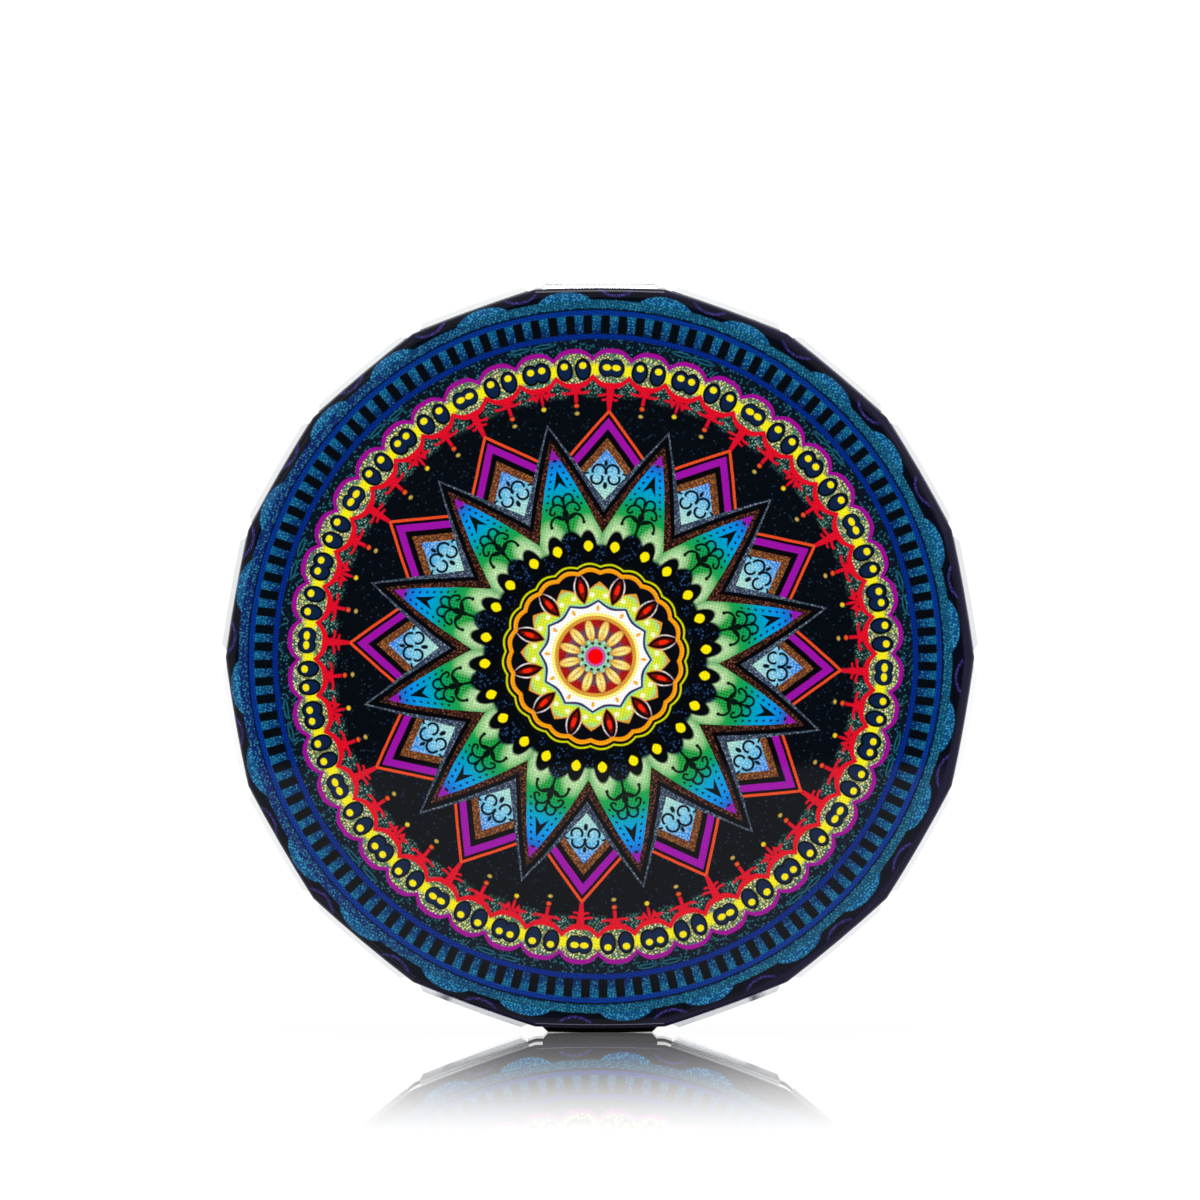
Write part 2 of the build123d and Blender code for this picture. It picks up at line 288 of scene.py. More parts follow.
heart = {
    "ground": [
        (0, "f40104"), (0.585, "f40104"), (0.626, "b0208f"), (0.813, "b0208f"), (0.862, "8fd8b0"),
        (1.38, "b9e8b4"), (1.46, "6a4a6a"), (2.28, "80506a"), (2.48, "c2180f"), (2.97, "bd170f"),
        (3.02, "d69734"), (3.28, "d69734"), (3.33, "faec81"), (3.54, "faec81"), (3.59, "f5f7f7"),
        (4.88, "f5f7f7"),
    ],
    "pearls": (0.65, 0.78), "pearlTurn": 5.0, "pearl": "e9a7c8",
    "mintRing": (0.894, 1.38), "mint": "5fae9c", "seed": (1.09, 0.154, 0.122), "seedInk": "15241c",
    "wineRing": (1.46, 3.01), "wine": "3b1626",
    "rim": (2.13, 0.406, 0.911), "rimInk": "7a3a34", "petal": (2.15, 0.341, 0.829), "petalSoft": 0.12,
    "cream": [(1.14, "e8b94a"), (1.54, "f4cd55"), (2.11, "f2e98f"), (2.6, "f5d36a"), (3.09, "f0ab3a")],
    "fold": (1.95, 0.057, 0.528), "foldInk": "b8562a", "tear": (3.92, 0.138, 0.236), "tearInk": "f2a80c",
}


def drawHeart(at):  # red centre, mint ring, twelve cream petals and the white ring
    r, xP, yP = at["r"], at["xP"], at["yP"]
    colour = ramp(r, heart["ground"])
    besidePearl = abs(at["angle"].fold(heart["pearlTurn"]) - heart["pearlTurn"] / 2)
    pearls = stripe(r, *heart["pearls"]) * within(besidePearl, 1.0, 0.8) * 0.7
    colour = lay(colour, heart["pearl"], pearls)
    mint = stripe(r, *heart["mintRing"]) * at["speckle"]
    colour = lay(colour, heart["mint"], mint * 0.45)
    colour = lay(colour, heart["seedInk"], oval(xP, yP, *heart["seed"]))
    wine = stripe(r, *heart["wineRing"]) * at["speckle"]
    colour = lay(colour, heart["wine"], wine * 0.5)
    colour = lay(colour, heart["rimInk"], oval(xP, yP, *heart["rim"], heart["petalSoft"]))
    colour = lay(colour, ramp(r, heart["cream"]), oval(xP, yP, *heart["petal"], heart["petalSoft"]))
    colour = lay(colour, heart["foldInk"], oval(xP, yP, *heart["fold"], 0.15) * at["speckle"])
    return lay(colour, heart["tearInk"], oval(at["xD"], at["yD"], *heart["tear"]))


crown = {
    "points": 0.447, "violet": 4.41, "violetInk": "3c2a5c", "mint": 4.62, "mintInk": "8fdcae", "start": 4.73,
    "fill": [
        (4.23, "8fdc8c"), (4.47, "d3e52a"), (4.72, "e6e600"), (5.28, "e0e704"), (5.49, "bfe45a"),
        (5.65, "a3dda0"), (5.77, "e0a02c"), (6.18, "de8e20"),
    ],
    "speckInk": "6fb86a", "fall": 0.07, "amber": 5.95, "amberInk": "e0902c", "end": 6.08,
    "glow": (5.0, 0.179, 0.163), "glowTurn": 6.3, "glowInk": "fbffe8",
}


def drawCrowns(colour, at):  # yellow-green crowns outside the white ring's twelve points
    r, d = at["r"], at["d"]
    whiteEdge = abs((d * radians(6)).sine()) * crown["points"] + r
    colour = lay(colour, crown["violetInk"], beyond(whiteEdge, crown["violet"]))
    colour = lay(colour, crown["mintInk"], beyond(whiteEdge, crown["mint"]))
    fill = lay(ramp(r, crown["fill"]), crown["speckInk"], at["speckle"] * 0.28)
    colour = lay(colour, fill, beyond(whiteEdge, crown["start"], 0.12))
    slope = d.scaled(crown["fall"], r)  # the crown's outer edge falls away from its axis
    colour = lay(colour, crown["amberInk"], beyond(slope, crown["amber"], 0.1))
    colour = lay(colour, printed["ink"], beyond(slope, crown["end"]))
    glow = alongRing(abs(d - crown["glowTurn"]), r)
    return lay(colour, crown["glowInk"], oval(glow, r, *crown["glow"], 0.24))


eye = {
    "middle": 5.57, "long": 1.18, "bow": 0.463,   # pointed at both ends, with sides this bowed
    "rim": (0.512, 0.626), "rimStart": 4.88,
    "blush": [(4.72, "c9a23a"), (5.37, "e8cfc0"), (6.02, "efe6df"), (6.5, "b79ab0"), (6.83, "4a3540")],
    "brown": 0.561, "brownEnd": 5.45, "brownInk": "b5601d", "black": 0.472, "blackInk": "0a0606",
    "wine": 0.236, "wineInk": "7a1206", "red": 0.171, "redMiddle": 5.65, "redLong": 0.374, "redInk": "f0240c",
}


def drawEyes(colour, at):  # twelve red eyes between the crowns
    xP, yP = at["xP"], at["yP"]
    bend = yP.scaled(1 / eye["long"], -eye["middle"] / eye["long"])
    side = (bend * bend).scaled(eye["bow"], xP)
    rim = stripe(side, *eye["rim"]) * beyond(yP, eye["rimStart"], 0.15)
    colour = lay(colour, ramp(at["r"], eye["blush"]), rim * (at["speckle"] * 0.5 + 0.5))
    colour = lay(colour, eye["brownInk"], within(side, eye["brown"]) * within(yP, eye["brownEnd"], 0.3))
    colour = lay(colour, eye["blackInk"], within(side, eye["black"]))
    colour = lay(colour, eye["wineInk"], within(side, eye["wine"], 0.15))
    red = within(side, eye["red"]) * within(abs(yP - eye["redMiddle"]), eye["redLong"])
    return lay(colour, eye["redInk"], red)


lobe = {
    "depth": 0.244, "orange": (6.63, 6.99), "orangeInk": "ef940b",
    "shine": (6.85, 6.96), "shineInk": "f7b52c",
    "blackInk": "0a0d0a", "lime": (7.22, 7.37), "limeInk": "cdd50b",
}


def drawLobes(colour, at):  # the orange ring with its lobes, and the lime line round it
    edge = abs((at["d"] * radians(12)).sine()) * -lobe["depth"] + at["r"]  # cusps on both axes
    colour = lay(colour, lobe["orangeInk"], stripe(edge, *lobe["orange"]))
    colour = lay(colour, lobe["shineInk"], stripe(edge, *lobe["shine"], 0.15) * 0.6)
    colour = lay(colour, lobe["blackInk"], beyond(edge, lobe["orange"][1]))
    return lay(colour, lobe["limeInk"], stripe(edge, *lobe["lime"]))


field = {"ink": "060a10", "strayInk": "28405c", "strays": (0.86, 0.96)}


def drawField(at):  # the black field behind the big figures
    stray = at["speck"] * spread(at["chance"], *field["strays"])
    return lay(field["ink"], field["strayInk"], stray * 0.5)


diamond = {
    "slope": 1.22, "bow": 0.0098,                 # how steep its sides are, and how much they curve
    "edges": [(20.12, "e24a22"), (19.77, "0b060c"), (19.41, "96119f"), (18.5, "07060a")],
    "brown": 17.8, "brownInks": ("5a3220", "c07a3a"), "sky": 16.87, "skySpeck": "f4fdf6",
    "skyFill": [
        (11.38, "c4e0a8"), (12.52, "a1d0b4"), (13.66, "8cc8c6"), (14.39, "74bdd7"), (15.04, "58b1d5"),
        (15.93, "3590d6"), (16.83, "1972d5"), (17.24, "1668c8"),
    ],
    "curl": (0.553, 15.08, 0.52, 0.102), "curlStart": 14.88,
    "hook": (0.699, 14.47, 0.455, 0.102), "hookEnd": 14.72,
    "side": (1.42, 14.51, 0.374, 0.089), "sideStart": 1.34,
    "drops": [(15.73, 0.146, 0.276), (13.9, 0.179, 0.293), (14.96, 0.13, 0.179)], "penInk": "08121d",
}


def drawDiamonds(colour, at):  # twelve diamonds behind the petals
    xD, yD, penSoft = at["xD"], at["yD"], printed["penSoft"]
    edge = xD.scaled(xD.scaled(diamond["bow"], diamond["slope"]), yD)
    for limit, ink in diamond["edges"]:
        colour = lay(colour, ink, within(edge, limit))
    brown = lay(*diamond["brownInks"], at["speck"] * (at["chance"] * 0.6 + 0.2))
    colour = lay(colour, brown, within(edge, diamond["brown"]))
    sky = lay(ramp(at["r"], diamond["skyFill"]), diamond["skySpeck"], at["speck"] * 0.3)
    colour = lay(colour, sky, within(edge, diamond["sky"]))
    curl = arch(xD, yD, *diamond["curl"]) * beyond(yD, diamond["curlStart"], penSoft)
    hook = arch(xD, yD, *diamond["hook"]) * within(yD, diamond["hookEnd"], penSoft)
    side = arch(xD, yD, *diamond["side"]) * beyond(xD, diamond["sideStart"], penSoft)
    drops = [oval(xD, yD, *drop) for drop in diamond["drops"]]
    return lay(colour, diamond["penInk"], together(curl, hook, side, *drops))


petal = {
    "slope": 2.05, "bows": (0.0123, 0.1353, 0.3198),  # its sides, and how much each outline curves
    "slate": 19.23, "slateInks": ("0c1220", "8fa3b4"), "black": 18.91, "blackInk": "05070a",
    "slateFill": [(11.38, "50586a"), (13.01, "46567a"), (16.26, "44586c"), (19.19, "5a6076")],
    "bark": 17.97, "barkInks": ("1e100e", "8a4f38"), "inner": 17.19,
    "fill": [
        (9.11, "0f7a34"), (9.92, "1c9440"), (11.22, "24a044"), (12.2, "109a50"), (12.85, "049a72"),
        (13.41, "009cae"), (14.15, "0098d0"), (14.96, "0a90e0"), (15.69, "0a7cd4"), (16.18, "2a5cc0"),
        (16.38, "8d16a8"), (17.24, "961aac"),
    ],
    "pale": (9.43, 1.01, 1.79), "paleInk": "d2ebb8", "dark": 9.11, "dome": (8.13, 1.22, 2.28),
    "duskInks": ("04070b", "2f5488"),
}


def drawPetals(colour, at):  # twelve great petals, on a dark ground that joins their feet
    r, xP, yP = at["r"], at["xP"], at["yP"]
    side = xP * petal["slope"] + yP
    square = xP * xP
    outer, middle, inner = (square.scaled(bow, side) for bow in petal["bows"])
    dark, light = petal["slateInks"]
    slate = lay(ramp(r, petal["slateFill"]), dark, at["hue"] * 0.2 + 0.55)
    slate = lay(slate, light, at["speck"] * at["chance"] * 0.75)
    colour = lay(colour, slate, within(outer, petal["slate"]))
    colour = lay(colour, petal["blackInk"], within(middle, petal["black"]))
    bark = lay(*petal["barkInks"], at["speck"] * (at["chance"] * 0.75 + 0.1))
    colour = lay(colour, bark, within(middle, petal["bark"]))
    besideLens = alongRing(abs(at["d"] - printed["lensTurn"]), r)
    pale = oval(besideLens, r, *petal["pale"], 0.7) * beyond(r, petal["dark"], 0.4)
    fill = lay(ramp(r, petal["fill"]), petal["paleInk"], pale * (1 - at["speckle"] * 0.35))
    inFill = within(inner, petal["inner"])
    colour = lay(colour, fill, inFill)
    colour = lay(colour, sprig["ink"], drawSprig(at) * inFill)
    dusk = lay(*petal["duskInks"], at["speck"] * spread(at["chance"], 0.55, 0.9) * 0.7)
    return lay(colour, dusk, together(oval(xP, yP, *petal["dome"], 0.15), within(r, petal["dark"], 0.25)))


sprig = {
    "ink": "06130f",
    "dotStep": 0.272, "dotMiddle": 15.71, "dotTop": 16.67, "dotSlope": 0.34,  # a row of dots beside each edge
    "dot": 0.102, "dots": (12.2, 16.02),
    "barbSlope": 2.8, "barbEdge": 15.45, "barbFoot": 14.39,
    "stem": 0.106, "stemEnds": (10.08, 13.25),
    "curls": [  # a pen ring, and where it starts
        ((0.439, 13.01, 0.374, 0.093), 12.85), ((0.618, 12.11, 0.585, 0.098), 12.07),
        ((0.699, 11.1, 0.634, 0.106), 11.02),
    ],
    "inward": (1.04, 12.15, 0.211, 0.089), "inwardEnd": 12.2,
    "spots": [(16.23, 0.195, 0.106), (11.83, 0.276, 0.374)],
    "buds": [  # distance from the axis, then an oval
        (0.813, (12.85, 0.146, 0.146)), (1.33, (10.94, 0.154, 0.154)),
    ],
    "leafOut": 0.488, "leaf": (11.27, 0.423, 0.13), "leafRise": 0.5, "lace": (11.63, 0.976, 1.22),
}


def drawSprig(at):  # the black pen work on a petal
    xP, yP, penSoft = at["xP"], at["yP"], printed["penSoft"]
    between = abs((yP - sprig["dotMiddle"]).fold(sprig["dotStep"]))
    besideRow = xP + (yP - sprig["dotTop"]) * sprig["dotSlope"]
    dots = within(farOut(between, besideRow), sprig["dot"]) * stripe(yP, *sprig["dots"])
    barb = within(yP + xP * sprig["barbSlope"], sprig["barbEdge"]) * beyond(yP + xP, sprig["barbFoot"], 0.08)
    stem = within(xP, sprig["stem"]) * stripe(yP, *sprig["stemEnds"])
    curls = [arch(xP, yP, *ring) * beyond(yP, start, penSoft) for ring, start in sprig["curls"]]
    inward = arch(xP, yP, *sprig["inward"]) * within(yP, sprig["inwardEnd"], penSoft)
    spots = [oval(xP, yP, *shape) for shape in sprig["spots"]]
    spots += [oval(xP - out, yP, *shape) for out, shape in sprig["buds"]]
    leaf = oval(xP - sprig["leafOut"], yP - xP * sprig["leafRise"], *sprig["leaf"])
    lace = oval(xP, yP, *sprig["lace"], 0.4) * spread(at["dots"], 0.0, 0.5) * 0.5
    return together(dots, barb, stem, *curls, inward, *spots, leaf, lace)


lens = {
    "shape": (8.94, 0.699, 1.41), "ink": "05080a",
    "drop": (8.98, 0.374, 0.455), "dropInk": "f8e406", "dropSlope": 0.34,
}


def drawLenses(colour, at):  # 24 black ovals, each with a yellow drop
    r = at["r"]
    across = alongRing(abs(at["d"] - printed["lensTurn"]), r)
    colour = lay(colour, lens["ink"], oval(across, r, *lens["shape"], 0.12))
    narrow = across + (lens["shape"][0] - r) * lens["dropSlope"]  # it narrows towards the middle of the case
    return lay(colour, lens["dropInk"], oval(narrow.higher(across), r, *lens["drop"]))


spark = {
    "low": (19.8, 0.171, 0.13), "lowInk": "c7a94f", "high": (20.43, 0.187, 0.163), "highInk": "e8521f",
    "axis": (20.49, 0.179, 0.163), "axisInk": "eccc20",
    "haze": (21.22, 22.44), "hazeInk": "16302f", "hazeSpeck": "7fb3a4",
    "twigInk": "d40f28", "twig": (-0.081, 0.138), "twigEnds": (20.69, 22.11), "knot": (21.67, 0.447, 0.26),
    "twigBranches": [((0.65, 22.36, 0.911, 0.098), 1.14, 21.95), ((0.406, 22.03, 0.618, 0.081), 0.65, 21.95)],
    "fan": (21.46, 0.138, 0.569), "fanOut": 0.423, "fanFoot": 21.3, "fanSlope": 0.5,
    "spine": (21.3, 0.122, 0.569), "wing": (21.63, 0.528, 0.13), "wingOut": 0.65, "wingRise": 0.12,
    "feather": (-0.163, 0.179), "featherEnds": (20.0, 22.11), "featherFoot": 20.32, "featherSlope": -0.10,
    "featherBranches": [
        ((0.732, 22.11, 0.894, 0.098), 0.976, 21.95), ((0.569, 21.46, 0.61, 0.089), 0.65, 21.3),
    ],
}


def betweenBeads(at):  # 0 over a bead, 1 between two
    return 1 - abs((at["d"] * radians(24)).cosine())


def drawSparks(colour, at):  # dots and coral twigs in the black field under the beads
    r, xP, yP, xD, yD = (at[k] for k in ("r", "xP", "yP", "xD", "yD"))
    across = alongRing(at["d"] - printed["beadTurn"], r)
    for name in "low", "high":
        colour = lay(colour, spark[name + "Ink"], oval(across, r, *spark[name], 0.12))
    colour = lay(colour, spark["axisInk"], oval(xP, yP, *spark["axis"], 0.12))
    haze = stripe(r, *spark["haze"], 0.5) * spread(betweenBeads(at), 0.12, 0.6)
    colour = lay(colour, spark["hazeInk"], haze * 0.7)
    colour = lay(colour, spark["hazeSpeck"], haze * at["speck"] * at["chance"])
    side = abs(across)
    twig = [stripe(side, *spark["twig"]) * stripe(r, *spark["twigEnds"])]
    twig += [branch(side, r, *arm) for arm in spark["twigBranches"]]
    fan = abs(xP - spark["fanOut"]) - (yP - spark["fanFoot"]) * spark["fanSlope"]
    coral = [
        oval(side, r, *spark["knot"], 0.15), oval(fan, yP, *spark["fan"]), oval(xP, yP, *spark["spine"]),
        oval(xP - spark["wingOut"], yP + xP * spark["wingRise"], *spark["wing"]),
    ]
    lean = xD + (r - spark["featherFoot"]) * spark["featherSlope"]
    feather = [stripe(lean, *spark["feather"]) * stripe(r, *spark["featherEnds"])]
    feather += [branch(xD, yD, *arm) for arm in spark["featherBranches"]]
    return lay(colour, spark["twigInk"], together(*twig, *coral, *feather))


bead = {
    "cusp": 1.55, "cuspDepth": 0.732,             # the red and magenta waves come to points between beads
    "belt": (22.07, 24.88), "yellow": (22.85, 23.74), "yellowInk": "ece31a",
    "halo": [(22.11, "4f6f5a"), (22.52, "94a86e"), (23.5, "b9bd66"), (24.23, "a9b880"), (24.8, "3d574e")],
    "dottedInks": ("f2edc4", "d8dc5a"), "tealInk": "2f8f8a", "groundInk": "16262a",
    "red": (21.79, 22.24), "redInk": "d90d24", "magenta": (24.67, 25.06), "magentaInk": "970d8c",
    "edgeInk": "04070c", "navyInk": "0f2141", "dropInk": "f3df0c",
    "overDiamond": {"turn": 0.95, "rim": (23.46, 0.691, 0.764), "body": (23.46, 0.569, 0.634)},
    "between": {"turn": 1.82, "rim": (23.35, 0.683, 0.927), "body": (23.35, 0.512, 0.748)},
    "overPetal": {"turn": 1.12, "rim": (23.41, 0.732, 0.878), "body": (23.41, 0.553, 0.683)},
    "drops": [(23.51, 0.341, 0.244), (23.66, 0.26, 0.26), (23.62, 0.285, 0.26)], "dropOut": 0.033,
}


def beadCusp(at):
    return betweenBeads(at).power(bead["cusp"])


def drawBeads(colour, at):  # the ring of navy beads between the red wave and the magenta scallops
    r, d, p = at["r"], at["d"], at["p"]
    red = beadCusp(at).scaled(-bead["cuspDepth"], r)
    magenta = beadCusp(at).scaled(bead["cuspDepth"], r)
    low, high = bead["belt"]
    belt = beyond(red, low) * within(magenta, high)
    dotted = lay(*bead["dottedInks"], spread(at["hue"], 0.4, 0.7))
    dotted = lay(dotted, bead["tealInk"], spread(at["hue"], 0.75, 0.85))
    halo = lay(bead["groundInk"], ramp(r, bead["halo"]), at["chance"] * 0.2 + 0.2)
    colour = lay(colour, lay(halo, dotted, at["speck"] * 0.92), belt)
    yellow = belt * stripe(r, *bead["yellow"], 0.3)
    colour = lay(colour, bead["yellowInk"], yellow * spread(betweenBeads(at), 0.3, 0.62))
    colour = lay(colour, bead["redInk"], stripe(red, *bead["red"]))
    colour = lay(colour, bead["magentaInk"], stripe(magenta, *bead["magenta"]))
    groups = bead["overDiamond"], bead["between"], bead["overPetal"]
    turns = d, abs(d - printed["beadTurn"]), p
    sides = [alongRing(abs(turn - group["turn"]), r) for group, turn in zip(groups, turns)]
    for part, ink in ("rim", bead["edgeInk"]), ("body", bead["navyInk"]):
        ovals = [oval(side, r, *group[part]) for group, side in zip(groups, sides)]
        colour = lay(colour, ink, together(*ovals))
    sides[1] = sides[1] - bead["dropOut"]
    drops = [oval(side, r, *drop) for side, drop in zip(sides, bead["drops"])]
    return lay(colour, bead["dropInk"], together(*drops))


rim = {
    "start": 25.06, "startInk": "0a1420", "strayInk": "2a7486", "strays": (0.55, 0.75),
    "leafTurn": 2.2, "leaf": (25.5, 0.813, 0.195), "leafInk": "1a6077",
    "vein": (25.5, 0.667, 0.106), "veinInk": "07131c",
    "rings": [
        (25.61, "04267b"), (26.14, "042a86"), (26.23, "061e57"), (26.99, "083a72"), (27.68, "0e5f88"),
        (27.76, "06328a"), (28.11, "06328a"), (28.18, "04101c"), (28.28, "04101c"), (28.34, "0f476e"),
        (28.93, "14506f"), (29.02, "060a12"), (29.84, "0a0a18"), (30.08, "191530"), (30.89, "15112a"),
    ],
    "ringStart": 25.8, "band": (28.26, 28.99), "bandShadeInk": "141a66", "bandLeftShade": (-4.0, -22.0),
    "ladder": (26.34, 27.72), "lightInk": "3d9fb4", "screened": (25.69, 29.02), "screenInk": "030b16",
    "rungTurn": 1.5, "rungHalf": 0.366, "rungEnds": (26.24, 27.74), "rungInk": "060a10",
    "dome": (28.7, 2.2, 0.992), "domeStart": 28.94, "domeInks": ("0d4674", "3fa4cc"),
    "crescentTurn": 7.5, "crescent": (0.0, 31.3, 1.95, 0.106), "crescentEnd": 29.84, "crescentInk": "4b3f9a",
}


def drawRim(colour, at):  # black ring, blue rings, ladder, band and domes out to the edge; the band gets painted shade, darker indigo on the left side
    r, angle, speck, hue = at["r"], at["angle"], at["speck"], at["hue"]
    black = beyond(beadCusp(at).scaled(bead["cuspDepth"], r), rim["start"])
    colour = lay(colour, rim["startInk"], black)
    stray = speck * spread(at["chance"], *rim["strays"])
    colour = lay(colour, rim["strayInk"], black * stray * 0.75)
    besideLeaf = alongRing(abs(at["p"] - rim["leafTurn"]), r)
    for name in "leaf", "vein":
        colour = lay(colour, rim[name + "Ink"], oval(besideLeaf, r, *rim[name]))
    band = stripe(r, *rim["band"])
    # painted shade: the band is turned dark indigo on the case's left side, where the sloping rim lies in
    # shade
    rings = lay(ramp(r, rim["rings"]), rim["bandShadeInk"], band * spread(at["x"], *rim["bandLeftShade"]) * 0.85)
    light = speck * (band + stripe(r, *rim["ladder"], 0.3))
    rings = lay(rings, rim["lightInk"], light * spread(hue, 0.2, 0.9) * 0.6)
    screened = spread(at["dots"], -0.2, 0.5) * stripe(r, *rim["screened"], 0.2)
    rings = lay(rings, rim["screenInk"], screened * 0.4)
    colour = lay(colour, rings, beyond(r, rim["ringStart"]))
    besideRung = alongRing(rim["rungTurn"] - angle.fold(rim["rungTurn"]), r)
    colour = lay(colour, rim["rungInk"], within(besideRung, rim["rungHalf"]) * stripe(r, *rim["rungEnds"]))
    besideDome = alongRing(abs(at["p"] - printed["lensTurn"]), r)
    dome = oval(besideDome, r, *rim["dome"]) * beyond(r, rim["domeStart"])
    colour = lay(colour, lay(*rim["domeInks"], speck * (hue * 0.7 + 0.15)), dome)
    crescent = arch(alongRing(angle.fold(rim["crescentTurn"]), r), r, *rim["crescent"])
    crescent = crescent * within(r, rim["crescentEnd"], 0.2)
    return lay(colour, rim["crescentInk"], crescent * (speck * 0.5 + 0.2))


def halftone(colour, at):  # the printer's screen shows a little everywhere
    return lay(colour, printed["ink"], spread(at["dots"], -0.3, 0.5) * printed["screen"])


def printedSheet():
    material, tree, shader = newMaterial(
        "printedSheet", Roughness=0.38, Coat_Weight=1.0, Coat_Roughness=0.025, Coat_IOR=1.19,
        Specular_IOR_Level=0.0,
    )
    at = printPlaces(tree)
    colour = drawField(at)
    for draw in drawDiamonds, drawPetals, drawLenses:
        colour = draw(colour, at)
    middle = drawHeart(at)
    for draw in drawCrowns, drawEyes, drawLobes:
        middle = draw(middle, at)
    colour = lay(colour, middle, within(at["r"], printed["heartEdge"], printed["heartSoft"]))
    for draw in drawSparks, drawBeads, drawRim, halftone:
        colour = draw(colour, at)
    tree.links.new(colour.socket, shader.inputs["Base Color"])
    bump(shader, noise(at["place"], 1.6, 3.0), 0.004)
    return material


scratches = {"detail": 3.0, "rough": 0.65, "seen": (0.58, 0.95), "ink": "55585e", "depth": 0.006}
smudges = {"scale": 0.6, "detail": 3.0}
even = (1.0, 1.0, 1.0)


def brushed(name, ink, rough, along=even, wear=0.5, fine=9.0):
    # metal with fine scratches, stretched along one way, and smudges that dull it here and there
    material, tree, shader = newMaterial(name, Metallic=1.0)
    place = objectPlace(tree)
    stretched = tree.nodes.new("ShaderNodeMapping")
    stretched.inputs["Scale"].default_value = along
    tree.links.new(place.socket, stretched.inputs["Vector"])
    lines = noise(Wire(tree, stretched.outputs[0]), fine, scratches["detail"], scratches["rough"])
    smudge = noise(place, smudges["scale"], smudges["detail"])
    tone = lay(ink, scratches["ink"], spread(lines, *scratches["seen"]) * (wear / 2))
    tree.links.new(tone.socket, shader.inputs["Base Color"])
    dull = smudge * 0.12 + (lines * 0.10 + (rough - 0.10))
    tree.links.new(dull.socket, shader.inputs["Roughness"])
    bump(shader, lines, scratches["depth"] * wear)
    return material


bar = {"ink": "e6e8ea", "rough": 0.13, "wear": 0.25, "fine": 1.5}
# painted shade: the near-black colour, and the box at the case's foot where it is painted over the standing
# bar
paintedFootShade = {"ink": "1a1b1e", "half": 4.95, "top": 1.15, "soft": 0.2}


def polishedBarPaintedShade():  # painted shade: the bar that the case stands on is painted near-black, in place of its dark reflection of the shaded table at its foot
    material = brushed("polishedBarPaintedShade", bar["ink"], bar["rough"], wear=bar["wear"], fine=bar["fine"])
    tree = material.node_tree
    base = tree.nodes["Principled BSDF"].inputs["Base Color"]
    x, _, z = axes(objectPlace(tree))
    # painted shade: 1 on the lowest bar, where near-black stands in for its dark reflection
    paintedShadeMask = within(abs(x), paintedFootShade["half"], paintedFootShade["soft"]) * within(z, paintedFootShade["top"], paintedFootShade["soft"])
    tone = lay(Wire(tree, base.links[0].from_socket), paintedFootShade["ink"], paintedShadeMask)
    tree.links.new(tone.socket, base)
    return material


plastic = {"inks": ("141416", "202124"), "grain": 5.5, "cloud": 0.25, "depth": 0.03}


def blackPlastic():
    material, tree, shader = newMaterial("blackPlastic", IOR=1.5)
    place = objectPlace(tree)
    grain = noise(place, plastic["grain"], 4.0, 0.6)
    tone = lay(*plastic["inks"], spread(noise(place, plastic["cloud"]), 0.35, 0.7))
    tree.links.new(tone.socket, shader.inputs["Base Color"])
    tree.links.new((grain * 0.25 + 0.36).socket, shader.inputs["Roughness"])
    bump(shader, grain, plastic["depth"])
    return material


glass = {"inks": ("d3dcda", "c9d5d1"), "breath": 0.12}


def mirrorGlass():  # silvered glass with a trace of breath on it
    material, tree, shader = newMaterial(
        "mirrorGlass", Metallic=1.0, Coat_Weight=1.0, Coat_Roughness=0.01, Coat_IOR=1.52,
    )
    breath = noise(objectPlace(tree), glass["breath"], 3.0)
    tone = lay(*glass["inks"], spread(breath, 0.4, 0.7))
    tree.links.new(tone.socket, shader.inputs["Base Color"])
    tree.links.new((spread(breath, 0.5, 0.8) * 0.03 + 0.01).socket, shader.inputs["Roughness"])
    return material


foamLook = {"inks": ("2b2d31", "494c52"), "cells": 3.4, "depth": 0.08}


def foam():
    material, tree, shader = newMaterial("foam", Roughness=0.95, Sheen_Weight=0.3, Specular_IOR_Level=0.2)
    cells = tree.nodes.new("ShaderNodeTexVoronoi")
    cells.inputs["Scale"].default_value = foamLook["cells"]
    tree.links.new(objectPlace(tree).socket, cells.inputs["Vector"])
    depth = Wire(tree, cells.outputs["Distance"])
    tone = lay(*foamLook["inks"], spread(depth, 0.2, 0.8))
    tree.links.new(tone.socket, shader.inputs["Base Color"])
    bump(shader, depth, foamLook["depth"])
    return material


bumper = {"inks": ("eef2f3", "cfd4d6"), "dust": 3.0, "depth": 0.008}


def silicone():
    material, tree, shader = newMaterial(
        "silicone", IOR=1.41, Transmission_Weight=0.75, Subsurface_Weight=0.1,
    )
    dust = noise(objectPlace(tree), bumper["dust"], 3.0)
    tone = lay(*bumper["inks"], spread(dust, 0.5, 0.7))
    tree.links.new(tone.socket, shader.inputs["Base Color"])
    tree.links.new((dust * 0.25 + 0.15).socket, shader.inputs["Roughness"])
    bump(shader, dust, bumper["depth"])
    return material


